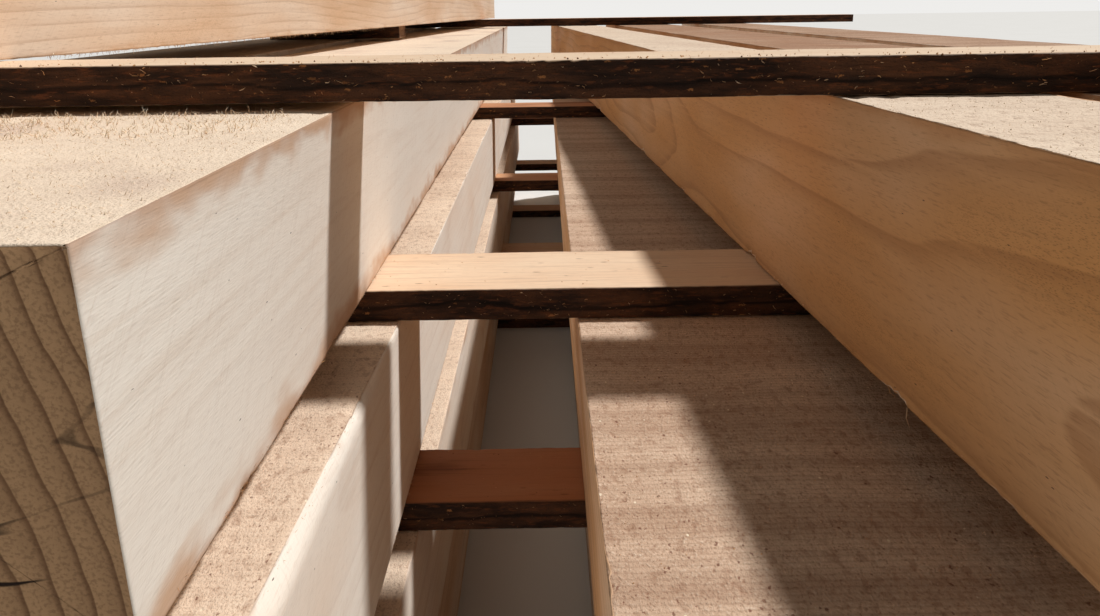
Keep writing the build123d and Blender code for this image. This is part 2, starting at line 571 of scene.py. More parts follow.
def close_skin(skin, name, end_rings):
    """Closes the skin: rings over the near end from its middle outwards, the
    wall, and rings over the far end inwards. Each ring over an end is the
    wall's last one, shrunk towards its middle and pressed in by the end's own
    relief, which the next cell gives."""
    stock, wall = skin.stock, skin.wall
    half = stock.widths.min() / 2
    inner = np.linspace(1 - END_RINGS[-1] / half, 0, end_rings + 1)[1:-1]
    scales = np.concatenate([1 - END_RINGS[1:] / half, inner])

    rows = [wall]
    lengthwise = [np.broadcast_to(skin.places[:, None], wall.shape[:2])]
    poles = []
    for end, order in ((0, slice(None, None, -1)), (-1, slice(None))):
        rim = wall[end]
        middle = rim.mean(0)
        rings = middle + scales[:, None, None] * (rim - middle)
        inwards = end_relief(rings, half * (1 - scales)[:, None], end)
        level = skin.places[end] + (inwards if end == 0 else -inwards)
        place = 0 if end == 0 else len(rows)
        rows.insert(place, rings[order])
        lengthwise.insert(place, level[order])
        poles.append([level[-1].mean(), *middle])
    section = np.concatenate(rows)
    lengthwise = np.concatenate(lengthwise)
    turned = np.concatenate([lengthwise[..., None], section], axis=-1)
    turned = np.concatenate([turned.reshape(-1, 3), poles])
    points = stock.start + turned @ np.array([stock.along, stock.across, UP])

    count, around = lengthwise.shape
    grid = np.arange(count * around).reshape(count, around)
    beside = np.roll(grid, -1, axis=1)
    quads = np.stack([grid[:-1], grid[1:], beside[1:], beside[:-1]], axis=-1).reshape(-1, 4)
    first, last = count * around, count * around + 1
    near_fan = np.stack([np.full(around, first), grid[0], beside[0]], axis=-1)
    far_fan = np.stack([grid[-1], np.full(around, last), beside[-1]], axis=-1)

    corners = np.concatenate([quads.ravel(), near_fan.ravel(), far_fan.ravel()])
    sizes = np.concatenate([np.full(len(quads), 4), np.full(2 * around, 3)])
    mesh = new_mesh(name, points, corners, sizes, True)
    return SimpleNamespace(
        mesh=mesh, turned=turned, rows=count, around=around, end_rows=len(scales),
    )


# %% [markdown]
# ## What the saw and the weather left
#
# The saw leaves a slow swell on every face and a band across the two rough
# ones at each of its strokes, with small pits where fibres tore out. Long
# edges are nibbled all along and broken here and there. All of this could be
# a bump in the material, but the edges stand against the dark flue, so their
# outline has to be real. Only what is finer than the grid is left to bump.

# %% Relief of a timber
FULL_TURN = 2 * math.pi
ROUGH_SIDES = (BOTTOM, TOP)
END_WEAR = 0.9 * MM
STROKE = 16.0 * MM
SPLINTER = 11 * MM
LEAST_WEAR = 0.25
END_RIDGE = 7 * MM
END_SEED = 71
METRE = 1000
OWN_PART = 10


def own_lumps(spots, seed):
    """Lumps at these spots, as a function of a number, so that each field is
    another, and of the lumps' size in millimetres along, across and up. With a
    metre across they are nearly the same all round a section."""
    def field(number, along, across, up=None):
        return lumps(spots, np.array([along, across, up or across]) * MM, seed + number)

    return field


def wear_widths(skin, seed, wear):
    """How far from each long edge its wear reaches, over (place, edge): a hair
    all along, nibbles of a few millimetres, and bites that start suddenly and
    run out slowly, as a splinter does."""
    spots = np.stack(np.broadcast_arrays(skin.places[:, None], 5.0 * np.arange(4), seed), axis=-1)
    lump = own_lumps(spots, seed)
    nibbles = lump(0, 3, METRE) + lump(1, 9, METRE)
    bites = np.maximum(lump(2, 28, METRE) - 0.35, 0)
    torn = 1 - (spots[..., 0] / SPLINTER + 3 * lump(3, 100, METRE)) % 1.0
    widths = 0.7 + 0.25 * nibbles + np.asarray(wear) * (0.2 + 5.0 * bites * (0.3 + torn))
    return MM * np.maximum(widths, LEAST_WEAR)


def rounded(width, reach):
    """Depth of wear of a given width at a distance from its edge: a parabola
    that leaves the face smoothly."""
    return np.maximum(width - reach, 0) ** 2 / (2 * width)


def edge_relief(skin, widths):
    """Depth of the wear of the two long edges of each side and of the ends."""
    lower = rounded(widths[:, skin.sides], skin.marks)
    upper = rounded(widths[:, (skin.sides + 1) % 4], skin.rest)
    from_end = np.minimum(skin.places, skin.stock.length - skin.places)[:, None]
    return np.maximum(lower, upper) + rounded(END_WEAR, from_end)


def timber_relief(skin, seed, wear):
    """Depth below the solid, over the skin: a swell, the saw's strokes, lumps
    and torn pits on the rough faces, finer lumps on the smoother sides. Up to
    the last line the depths are in millimetres. Each piece reads its own part
    of the noise. Gives the bark's cover of the skin too, which is the wane."""
    spots = placed(skin, skin.ring) + OWN_PART * seed
    lump = own_lumps(spots, seed)
    rough = np.isin(skin.sides, ROUGH_SIDES)
    swell = 0.30 * (1 + lump(0, 220, 90))
    wander = 0.8 * lump(1, 50, 60)
    strokes = 0.10 * (1 + np.sin(FULL_TURN * (spots[..., 0] / STROKE + wander)))
    grit = 0.16 * (1 + lump(2, 9, 4))
    pits = 2.4 * np.maximum(lump(3, 14, 5) - 0.5, 0)
    fine = 0.05 * (1 + lump(4, 30, 6))
    bark = 0.8 * (1 + lump(5, 30, 8))
    depth = swell + np.where(rough, strokes + grit + pits, fine)
    depth += np.where(skin.wane, bark, 0)
    return MM * depth + edge_relief(skin, wear_widths(skin, seed, wear)), skin.wane


def end_relief(rings, from_edge, end):
    """Depth of the rough crosscut, over (ring, point): worn at the rim, and a
    slope, ridges of the saw and lumps towards the middle."""
    spots = np.concatenate([rings, np.full_like(rings[..., :1], 2.0 * end)], axis=-1)
    ridges = np.sin(FULL_TURN * (rings[..., 0] + 0.25 * rings[..., 1]) / END_RIDGE)
    lump = own_lumps(spots, END_SEED)
    rough = 0.5 + 0.12 * ridges + 0.3 * lump(0, 5, 5, METRE)
    rough += 0.5 * (1 + lump(1, 40, 40, METRE))
    return rounded(END_WEAR, from_edge) + MM * rough * (1 - np.exp(-from_edge / (1.5 * MM)))


# %% [markdown]
# ## Bark
#
# The strips are slabs off the outside of a log, so their long edges are bark.
# Pressed flat and dried, the bark shows one long wandering crack about half
# way up, and thin scales that have partly come off. The crack is a narrow
# groove along a wandering line, and the scales are lens-shaped lumps that are
# cut off at a level, so that they have edges.

# %% Relief of a strip
BARK_SIDES = (RIGHT, LEFT)
CRACK_HEIGHT = 0.48
CRACK_OPENING = 0.9 * MM
BARK_FADE = 1.2 * MM


def strip_relief(skin, seed, wear):
    """Depth below the solid, over the skin: on the two bark sides a slow
    wave, a wandering crack and scales, all of which fade towards the long
    edges so that the skin doesn't fold there; on the sawn ones a swell and
    lumps. Gives the crack's cover of the skin too, for its painted shade."""
    lump = own_lumps(placed(skin, skin.ring) + OWN_PART * seed, seed)
    bark = np.isin(skin.sides, BARK_SIDES)
    line = CRACK_HEIGHT + 0.14 * lump(0, 50, METRE) + 0.05 * lump(0, 9, METRE)
    off_line = skin.marks - line * (skin.marks + skin.rest)
    opening = CRACK_OPENING * (1 + 0.5 * lump(1, 20, METRE))
    crack = 1.3 * np.exp(-(off_line / opening) ** 2)
    # Where the crack runs: it carries the painted shade of its groove.
    crack_shade_mask = np.where(bark, np.exp(-(off_line / (1.5 * opening)) ** 2), 0)
    wave = 0.7 * (1 + lump(2, 160, 50))
    scales = 0.6 * (lump(3, 9, 3) > 0.1)
    grit = 0.25 * (1 + lump(4, 2.5, 1.5))
    swell = 0.12 * (1 + lump(5, 120, 30))
    nicks = 0.10 * (1 + lump(6, 3, 8, 3))
    inside = 1 - np.exp(-np.minimum(skin.marks, skin.rest) / BARK_FADE)
    depth = np.where(bark, (wave + crack + scales + grit) * inside, swell + nicks)
    return MM * depth + edge_relief(skin, wear_widths(skin, seed, wear)), crack_shade_mask


# %% [markdown]
# ## What the skin tells its material
#
# Wood grain doesn't lie on a face, it goes through the piece, so a material
# has to know where in the log each point was. That could be read from the
# place in space, but then neighbours would share one log. Each skin carries
# its own numbers instead: the place in its log, the distance to the nearest
# long edge, where dirt gathers, how dark it is, and how far it is covered by
# bark on a timber's wane, or by the crack's painted shade on a strip's bark.

# %% Numbers on the skin
LOG_STRETCH, STRETCHES = 0.37, 97


def own_seed(name):
    """A number from a piece's name, so that each piece has its own."""
    return sum(map(ord, name))


def carry(mesh, name, kind, values):
    """Stores an array of numbers or of vectors on the points of a mesh."""
    layer = mesh.attributes.new(name, kind, "POINT")
    field = "vector" if kind == "FLOAT_VECTOR" else "value"
    layer.data.foreach_set(field, np.asarray(values, dtype=np.float32).ravel())


def finish_skin(skin, made, look, slots, covered):
    """Stores the numbers, and gives each face the material slot of its side:
    0 right and left, 1 top and bottom, 2 the ends. The place in the log is
    counted from its heart, and every piece takes it from another stretch of
    the log. Covered is the share, on each wall point, of bark on a timber and
    of the crack's painted shade on a strip."""
    mesh = made.mesh
    stretch = LOG_STRETCH * (own_seed(mesh.name) % STRETCHES)
    offset = np.array([stretch, *(-np.asarray(look.heart))])
    log = (made.turned + offset)[:, [1, 0, 2]]
    carry(mesh, "grain", "FLOAT_VECTOR", log)

    rough = np.isin(skin.sides, ROUGH_SIDES)
    for number, on_ends, at_poles, on_wall in (
        ("edge", skin.stock.widths.min() / 2, 0, np.minimum(skin.marks, skin.rest) + look.clean),
        ("barked", 0.0, 0, covered),
        ("tone", look.tone, look.tone, np.where(rough, look.rough_tone, look.tone)),
    ):
        values = np.full((made.rows, made.around), on_ends)
        values[made.end_rows:made.rows - made.end_rows] = on_wall
        carry(mesh, number, "FLOAT", [*values.ravel(), at_poles, at_poles])

    end_slot = len(slots) - 1
    faces = np.full((made.rows - 1, made.around), end_slot)
    faces[made.end_rows:made.rows - made.end_rows - 1] = rough
    picks = np.concatenate([faces.ravel(), np.full(2 * made.around, end_slot)])
    for material in slots:
        mesh.materials.append(material)
    mesh.polygons.foreach_set("material_index", picks.astype(np.int32))


def show(mesh, slot, *nodes):
    """Puts a finished mesh into the scene. It rides on the stack, and stands
    for the solids that are named."""
    piece = bpy.data.objects.new(mesh.name, mesh)
    bpy.context.scene.collection.objects.link(piece)
    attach(piece, "root")
    if nodes:
        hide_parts(*nodes)


# %% [markdown]
# ## Smooth-sawn sides
#
# The sides were cut by a finer saw: pale wood with faint rings, streaks and
# pores along the grain, hair-thin saw marks across it at a slant, and a
# brownish stain along the edges. Rings are the distance from the log's heart,
# bent by slow noise, so a face that cuts them at a slant shows arches. Every
# finish here starts from a ground of two colours and lays coats over it, each
# by the share that some pattern gives: a ramp's two numbers are the values of
# the pattern between which the coat sets in, and the factor is its strength.

# %% Side wood
RING_WIDTH = 0.0085
SAW_SLANT = math.radians(42.0)
PALE_WOOD, TAN_WOOD = paint(246, 237, 224), paint(211, 157, 100)
RING_BROWN, STREAK_TAN, HAIR_BROWN = paint(158, 108, 66), paint(190, 146, 100), paint(150, 106, 68)
PORE_BROWN, SPECK, SAW_MARK = paint(112, 72, 42), paint(52, 36, 28), paint(160, 120, 84)
STAIN_PINK, STAIN_BROWN, RIM_BROWN = paint(196, 144, 98), paint(178, 118, 66), paint(116, 76, 50)
OLD_BARK, LIGHT_BARK = paint(52, 35, 25), paint(104, 70, 46)


def wood_finish(name, *numbers):
    """A new finish, the place in the log, and other numbers of the skin."""
    finish = new_finish(name)
    return finish, finish.attribute("grain", "Vector"), *map(finish.attribute, numbers)


def ring_pattern(finish, log):
    """Late wood, from 0 to 1, and the bent distance from the heart: distance
    counted in rings; each ring darkens slowly and ends at once."""
    across, along, up = finish.parts(log)
    bend = finish.noise(log, waves(6.0, 1.6), 1.0) - 0.5
    wobble = finish.noise(log, waves(45.0, 9.0), 1.0) - 0.5
    radius = (across * across + up * up) ** 0.5 + bend * 0.055 + wobble * 0.004
    ring = (radius / RING_WIDTH).fraction()
    body = ring.ramp(0.20, 0.90) * 0.35 + ring.ramp(0.72, 0.95) * 0.65
    return body * ring.ramp(1.0, 0.95), radius


def bark_coat(finish, pattern):
    """The last coat: bark where the piece's own mesh says so."""
    bark_colour = finish.blend(pattern.ramp(0.35, 0.65), OLD_BARK, LIGHT_BARK)
    finish.coat(finish.attribute("barked").ramp(0.3, 0.7), bark_colour)


def make_side_wood():
    finish, log, tone, edge = wood_finish("sawn_side", "tone", "edge")
    across, along, up = finish.parts(log)
    late = ring_pattern(finish, log)[0]

    cloud = finish.noise(log, waves(16.0, 5.0))
    mixed = (tone + (cloud - 0.5) * 0.8).ramp(-0.15, 1.1)
    finish.colour = finish.blend(mixed, PALE_WOOD, TAN_WOOD)
    streaks = finish.noise(log, waves(230.0, 6.0), 2.0, 0.6)
    rings = late * streaks.ramp(0.25, 0.55)
    finish.coat(rings * (0.06 + tone * 0.42), RING_BROWN)
    finish.coat(streaks.ramp(0.48, 0.78) * (tone * 0.20 + 0.12), STREAK_TAN)
    hairs = finish.noise(log, waves(1400.0, 120.0), 2.0, 0.6)
    finish.coat(hairs.ramp(0.53, 0.70) * (tone * 0.26 + 0.10), HAIR_BROWN)

    core, chance = finish.cells(log, waves(1900.0, 480.0))
    porous = cloud.ramp(0.48, 0.66) * tone.ramp(0.1, 0.6)
    finish.coat(core.ramp(0.36, 0.20) * porous * 0.42, PORE_BROWN)
    finish.coat(core.ramp(0.6, 0.4) * chance.ramp(0.9994, 0.9996) * 0.8, SPECK)

    patches = finish.noise(log, waves(60.0, 26.0), 2.0, 0.6)
    stain = (edge + (patches - 0.5) * 0.034).ramp(0.0150, -0.0010)
    stained = finish.blend(patches.ramp(0.40, 0.62), STAIN_PINK, STAIN_BROWN)
    finish.coat(stain * 0.72, stained)
    rim = (edge + (streaks - 0.5) * 0.010).ramp(0.0028, 0.0002)
    finish.coat(rim * 0.45, RIM_BROWN)
    ahead = along * math.cos(SAW_SLANT) + up * math.sin(SAW_SLANT)
    aside = up * math.cos(SAW_SLANT) - along * math.sin(SAW_SLANT)
    marked = finish.node("CombineXYZ", {}, {0: ahead * 45.0, 1: aside * 1300.0, 2: across * 40.0})
    saw = finish.noise(marked, waves(1.0, 1.0), 1.0)
    finish.coat(saw.ramp(0.52, 0.78) * 0.11, SAW_MARK)
    bark_coat(finish, streaks)
    return finish.close(cloud * 0.15 + 0.72, hairs * 0.45 + saw * 0.35, 0.27 * MM)


# %% [markdown]
# ## Rough tops
#
# Upper and lower faces were cut by a coarser saw that tore the fibres. From
# near by such a face looks like fine sand: grains of fuzz, reddish flecks, a
# few loose pale crumbs, and bands and fine lines across the length at the
# saw's strokes. Noise gives the grains. The flecks are cells of scattered
# points, of which each draws a number: a low one makes it a fleck, a high one
# a crumb. The darker the piece, the coarser it looks.

# %% Rough wood
FINE_LINE = 3.3 * MM
PALE_TOP, BROWN_TOP = paint(250, 229, 204), paint(178, 131, 98)
GRAIN_BROWN, GRAIN_PALE, CLUMP_BROWN = paint(126, 80, 54), paint(250, 232, 208), paint(140, 94, 66)
BAND_BROWN, STROKE_BROWN, LINE_BROWN = paint(136, 94, 66), paint(132, 90, 64), paint(120, 80, 56)
FLECK_RED, CRUMB_PALE = paint(108, 58, 40), paint(248, 232, 204)
MAUVE, EDGE_PALE = paint(178, 150, 142), paint(238, 216, 186)


def make_rough_wood():
    finish, log, tone, edge = wood_finish("rough_face", "tone", "edge")
    along = finish.parts(log)[1]

    cloud = finish.noise(log, waves(12.0, 7.0))
    mixed = (tone + (cloud - 0.5) * 0.5).ramp(-0.1, 1.1)
    finish.colour = finish.blend(mixed, PALE_TOP, BROWN_TOP)
    coarse = tone.ramp(0.10, 0.32)
    grains = finish.noise(log, waves(950.0, 620.0), 2.0, 0.65)
    clumps = finish.noise(log, waves(240.0, 150.0), 2.0, 0.55)
    finish.coat(grains.ramp(0.47, 0.28) * (coarse * 0.34 + 0.16), GRAIN_BROWN)
    finish.coat(grains.ramp(0.54, 0.76) * 0.50, GRAIN_PALE)
    finish.coat(clumps.ramp(0.50, 0.28) * (coarse * 0.28 + 0.12), CLUMP_BROWN)

    stroke = (along * (FULL_TURN / STROKE) + cloud * 9.0).sine()
    lines = (along * (FULL_TURN / FINE_LINE) + cloud * 14.0 + grains * 2.0).sine()
    darker = tone.ramp(0.1, 0.8)
    bands = finish.noise(log, waves(2.0, 34.0), 1.0).ramp(0.42, 0.62)
    finish.coat(bands * (darker * 0.32 + 0.05), BAND_BROWN)
    finish.coat(stroke.ramp(0.0, 1.0) * (darker * 0.15 + 0.03), STROKE_BROWN)
    finish.coat(lines.ramp(0.2, 1.0) * (darker * 0.24 + 0.02), LINE_BROWN)

    core, chance = finish.cells(log, waves(520.0, 330.0))
    body = (core + (grains - 0.5) * 1.3).ramp(0.33, 0.19)
    dense = cloud.ramp(0.40, 0.70) * (coarse * 0.10 + 0.03)
    flecks = body * (chance - dense).ramp(0.03, 0.0)
    finish.coat(flecks * (coarse * 0.58 + 0.10), FLECK_RED)
    crumbs = core.ramp(0.34, 0.24) * chance.ramp(0.991, 0.993)
    finish.coat(crumbs * 0.8, CRUMB_PALE)
    finish.coat(cloud.ramp(0.55, 0.70) * tone.ramp(0.25, 0.05) * 0.40, MAUVE)

    # Paler towards the long edges of the rough faces.
    pale_edge = (edge + (clumps - 0.5) * 0.006).ramp(0.0035, 0.0)
    finish.coat(pale_edge * 0.45, EDGE_PALE)
    bark_coat(finish, clumps)
    return finish.close(cloud * 0.1 + 0.82, grains * 0.55 + clumps * 0.45, 1.2 * MM, 0.2)


# %% [markdown]
# ## End grain
#
# Checks are the places where a noise of the direction from the heart
# crosses its middle value; they are painted dark, as shade in the cracks.

# %% End wood
# End colours are darker: partly end grain's own colour, partly painted shade.
END_TAN, END_BROWN, LATE_BROWN = paint(186, 148, 110), paint(124, 92, 66), paint(96, 62, 40)
RAY_PALE, GRIT_BROWN, CHECK_SHADE_DARK = paint(190, 156, 120), paint(92, 64, 44), paint(38, 25, 18)


def make_end_wood():
    finish, log, tone = wood_finish("end_grain", "tone")
    across, along, up = finish.parts(log)
    late, radius = ring_pattern(finish, finish.stretch(log, (1.0, 0.02, 1.0)))
    turn = finish.node("Math", {"operation": "ARCTAN2"}, {0: up, 1: across})
    fan = finish.node("CombineXYZ", {}, {0: turn * 9.0, 1: radius * 9.0, 2: along * 0.02})
    split = (finish.noise(fan, waves(1.0, 1.0), 3.0) - 0.5).size()
    check_shade = split.ramp(0.014, 0.004) * finish.noise(log, waves(18.0, 0.1), 1.0).ramp(0.42, 0.54)
    rays = finish.noise(finish.stretch(fan, (42.0, 2.5, 1.0)), waves(1.0, 1.0))
    grit = finish.noise(log, waves(900.0, 30.0), 3.0, 0.6)
    dirt = finish.noise(log, waves(22.0, 1.0), 3.0)

    aged = (dirt * 0.6 + tone * 0.5).ramp(0.20, 0.75)
    finish.colour = finish.blend(aged, END_TAN, END_BROWN)
    finish.coat(late * 0.75, LATE_BROWN)
    finish.coat(rays.ramp(0.5, 0.8) * 0.10, RAY_PALE)
    finish.coat(grit.ramp(0.55, 0.35) * 0.35, GRIT_BROWN)
    # Painted shade in the open checks.
    finish.coat(check_shade, CHECK_SHADE_DARK)
    return finish.close(0.88, grit * 0.5, 0.6 * MM, 0.2)


# %% [markdown]
# ## The strips
#
# A strip's upper face is sawn slab wood: the uppermost one pale, the next one
# pinkish and the lowest one red-brown, so one recipe runs through these by
# the piece's tone. Small dark dashes lie along the grain. The edge next to
# the bark carries a darker line, the inner bark. The bark itself is nearly
# black: rusty scales run along the strip, the crack is painted darker still,
# as shade in its groove, and a few pale torn flecks stand out.

# %% Strip wood and bark
STRIP_PALE, STRIP_PINK, STRIP_RED = paint(240, 214, 184), paint(218, 168, 126), paint(176, 114, 76)
STRIP_STREAK, STRIP_HAIR, DASH = paint(146, 96, 64), paint(134, 88, 58), paint(118, 72, 46)
KNOT_DARK, INNER_BARK = paint(84, 48, 30), paint(96, 62, 40)
BARK_DARK, BARK_BROWN, SCALE_RUST = paint(47, 30, 21), paint(88, 56, 36), paint(128, 74, 42)
BARK_GRIT, TORN_PALE, CRACK_SHADE_BLACK = paint(22, 14, 10), paint(178, 120, 70), paint(18, 11, 8)


def make_strip_wood():
    finish, log, tone, edge = wood_finish("strip_face", "tone", "edge")
    cloud = finish.noise(log, waves(30.0, 7.0), 3.0)
    mixed = tone + (cloud - 0.5) * 0.35
    finish.colour = finish.blend(mixed.ramp(0.0, 0.5), STRIP_PALE, STRIP_PINK)
    finish.coat(mixed.ramp(0.5, 1.0), STRIP_RED)

    streaks = finish.noise(log, waves(320.0, 11.0), 3.0, 0.6)
    finish.coat(streaks.ramp(0.48, 0.75) * 0.30, STRIP_STREAK)
    hairs = finish.noise(log, waves(1700.0, 90.0), 2.0, 0.6)
    finish.coat(hairs.ramp(0.5, 0.8) * 0.25, STRIP_HAIR)
    core, chance = finish.cells(log, waves(240.0, 80.0))
    dashes = (core + (hairs - 0.5) * 0.7).ramp(0.24, 0.12) * chance.ramp(0.84, 0.90)
    finish.coat(dashes * 0.55, DASH)
    knots = (cloud + streaks * 0.3).ramp(0.66, 0.84) * tone.ramp(0.6, 1.0)
    finish.coat(knots * 0.55, KNOT_DARK)
    inner_bark = (edge + (streaks - 0.5) * 0.004).ramp(0.0020, 0.0003)
    finish.coat(inner_bark * 0.70, INNER_BARK)
    return finish.close(cloud * 0.15 + 0.68, streaks * 0.4 + hairs * 0.4, 0.35 * MM)


def make_bark():
    finish, log, crack_shade_mask = wood_finish("bark", "barked")
    cloud = finish.noise(log, (70.0, 22.0, 110.0), 3.0, 0.6)
    finish.colour = finish.blend(cloud.ramp(0.36, 0.64), BARK_DARK, BARK_BROWN)
    scales = finish.noise(log, (260.0, 90.0, 560.0), 3.0, 0.6)
    finish.coat(scales.ramp(0.54, 0.66) * 0.45, SCALE_RUST)
    grit = finish.noise(log, waves(1300.0, 800.0), 2.0, 0.6)
    finish.coat(grit.ramp(0.48, 0.30) * 0.5, BARK_GRIT)
    core, chance = finish.cells(log, (330.0, 150.0, 420.0))
    torn = (core + (grit - 0.5) * 1.1).ramp(0.34, 0.20) * chance.ramp(0.950, 0.965)
    finish.coat(torn * 0.80, TORN_PALE)
    # The crack is painted near black: painted shade in its groove.
    finish.coat(crack_shade_mask.ramp(0.25, 0.85) * 0.75, CRACK_SHADE_BLACK)
    return finish.close(grit * 0.3 + 0.62, scales + grit * 0.4, 0.9 * MM, 0.25)


side_wood = make_side_wood()
rough_wood = make_rough_wood()
end_wood = make_end_wood()
strip_wood = make_strip_wood()
bark = make_bark()
for material in (side_wood, rough_wood, end_wood, strip_wood, bark):
    print(material.name, len(material.node_tree.nodes), "nodes")


# %% [markdown]
# ## The timbers
#
# Five timbers lie in front of the eye and get a close grid, on the faces that
# show and for the nearest 0.75 m; the rest get a coarse one. Each has its own
# heart of the log, its own tones, and its own wear along the four long edges:
# lower left, lower right, upper right and upper left, seen from the near end.
# Clean is how far its dirty edges are pushed back: a freshly sawn one has few.

# %% Timbers
SEEDS = 900
CLOSE, WIDE, LENGTHWISE = 4.0 * MM, 22.0 * MM, 34 * MM
SEEN_LEFT = (WIDE, CLOSE, CLOSE, WIDE)
SEEN_RIGHT = (WIDE, WIDE, CLOSE, CLOSE)
SEEN_ABOVE = (WIDE, CLOSE, WIDE, WIDE)
PLAIN_WEAR = (0.5, 0.5, 0.5, 0.5)
NEAR_LOOKS = {
    # side tone, top tone, heart of the log, wear, grid, clean
    "timber_4_left_1": (0.0, 0.10, (-0.16, -0.05), (0.3, 1.3, 0.6, 0.3), SEEN_LEFT, 0 * MM),
    "timber_3_left_1": (0.07, 0.30, (-0.12, 0.07), (0.3, 0.8, 1.4, 0.3), SEEN_LEFT, 14 * MM),
    # Right sides and lower right top: partly own tone, partly painted shade.
    "timber_4_right_1": (0.90, 0.22, (0.05, -0.015), (2.4, 0.4, 0.4, 0.9), SEEN_RIGHT, 6 * MM),
    "timber_3_right_1": (0.75, 0.51, (0.03, -0.09), (0.4, 0.4, 0.4, 0.9), SEEN_RIGHT, 10 * MM),
    "timber_5_left_1": (0.50, 0.30, (-0.03, 0.12), (0.4, 1.2, 0.4, 0.4), SEEN_ABOVE, 10 * MM),
}
# Two far tops on the right get a darker rough tone: painted shade.
FAR_TOPS_PAINTED_SHADE = {"timber_4_right_2": 0.8, "timber_4_right_3": 0.7}


def timber_look(name):
    """How a timber is finished: tones, heart, wear, and steps of its grid
    round the sides (steps), lengthwise up to a reach from the near end (fine)
    and beyond it (coarse), and over the ends (rings). One that lies out of
    sight draws its tone and heart by its own seed."""
    if name in NEAR_LOOKS:
        tone, rough_tone, heart, wear, steps, clean = NEAR_LOOKS[name]
        return SimpleNamespace(
            tone=tone, rough_tone=rough_tone, heart=heart, wear=wear, clean=clean, steps=steps,
            fine=3.5 * MM, coarse=LENGTHWISE, reach=0.75, rings=14, barked=0.0,
        )
    draw = np.random.default_rng(own_seed(name))
    heart = draw.uniform((-0.10, -0.08), (0.10, 0.08))
    tone = draw.uniform(0.1, 0.6)
    return SimpleNamespace(
        tone=tone, rough_tone=FAR_TOPS_PAINTED_SHADE.get(name, tone), heart=heart, wear=PLAIN_WEAR,
        clean=draw.uniform(0, 10) * MM, steps=(WIDE,) * 4,
        fine=18 * MM, coarse=LENGTHWISE, reach=0.3, rings=5, barked=1.0,
    )


def make_pieces(kind, look_of, relief, slots):
    """The skins of all pieces of a kind, by name: each is laid on its solid,
    carved, closed, finished and shown."""
    skins = {}
    for name in [name for name in stocks if name.startswith(kind)]:
        look = look_of(name)
        skin = bare_skin(stocks[name], look.fine, look.coarse, look.reach, look.steps)
        depth, covered = relief(skin, own_seed(name) % SEEDS, look.wear)
        skin.wall = skin.ring - skin.outward * depth[..., None]
        made = close_skin(skin, name + "_wood", look.rings)
        finish_skin(skin, made, look, slots, covered * look.barked)
        show(made.mesh, kind, name)
        skins[name] = skin
    return skins


timbers = make_pieces("timber", timber_look, timber_relief, (side_wood, rough_wood, end_wood))
print(len(timbers), "timbers")


# %% [markdown]
# ## The strips
#
# The three strips of the near row are seen from close by, so on the bark that
# faces the eye their grid is 1.4 mm high and 2.6 mm long.

# %% Strips
# The lowest strip's red-brown is partly its own colour, partly painted shade.
NEAR_TONES = {"spacer_5_near": 0.10, "spacer_4_near": 0.14, "spacer_3_near": 0.95}
NEAR_STEPS = (12 * MM, 1.4 * MM, 3 * MM, 5 * MM)
FAR_STEPS = (12 * MM, 4 * MM, 12 * MM, 5 * MM)
STRIP_WEAR = (0.3, 0.3, 0.6, 0.5)


def strip_look(name):
    """How a strip is finished, as for a timber."""
    draw = np.random.default_rng(own_seed(name))
    near = name in NEAR_TONES
    tone = NEAR_TONES.get(name, draw.uniform(0.2, 0.9))
    step = (2.6 if near else 12) * MM
    return SimpleNamespace(
        tone=tone, rough_tone=tone, heart=(draw.uniform(-0.02, 0.02), -0.09),
        wear=STRIP_WEAR, clean=0.0, steps=NEAR_STEPS if near else FAR_STEPS,
        fine=step, coarse=step, reach=stocks[name].length, rings=3, barked=1.0,
    )


strips = make_pieces("spacer", strip_look, strip_relief, (bark, strip_wood, end_wood))


def triangles(piece):
    """Triangles of a mesh: corners less two for each face."""
    return len(piece.data.loops) - 2 * len(piece.data.polygons)


made_pieces = [o for o in bpy.context.scene.objects if o.name.endswith("_wood")]
counts = [triangles(piece) for piece in made_pieces]
print(len(counts), "skins,", sum(counts), "triangles, most in one", max(counts))


# %% [markdown]
# ## Fibres, splinters and crumbs
#
# Rough-sawn wood is hairy: torn fibres stand up on its faces and hang from its
# edges, and sawdust lies on it. A hair system would be quick, but it isn't a
# mesh, and its hairs can't be told to leave the strips' seats free. So every
# fibre is a spike of three sides with one bend in it, rooted just under the
# skin, and every crumb is a crooked double pyramid. They are made by the
# hundred in one go.

# %% Places on a skin
def rooted(skin, side, lengthwise, share):
    """Roots on one side, at places along the piece and at shares of the side's
    width: the four grid points round each, blended, with the directions
    outward, and the direction of the grain."""
    stock = skin.stock
    axes = np.array([stock.along, stock.across, UP])
    points = stock.start + placed(skin, skin.wall) @ axes
    outward = skin.outward @ axes[1:]
    outward /= np.linalg.norm(outward, axis=-1, keepdims=True)
    width = stock.widths[side]
    columns = np.flatnonzero(skin.sides == side)
    marks = np.append(skin.marks[columns], width)
    row = np.interp(lengthwise, skin.places, np.arange(len(skin.places)))
    column = columns[0] + np.interp(share * width, marks, np.arange(len(marks)))
    r = np.minimum(row.astype(int), len(skin.places) - 2)
    c = column.astype(int)
    down, right = (row - r)[:, None], (column - c)[:, None]
    c, beside = c % len(skin.sides), (c + 1) % len(skin.sides)

    def blended(grid):
        low = grid[r, c] * (1 - right) + grid[r, beside] * right
        high = grid[r + 1, c] * (1 - right) + grid[r + 1, beside] * right
        return low * (1 - down) + high * down

    return blended(points), blended(outward), stock.along


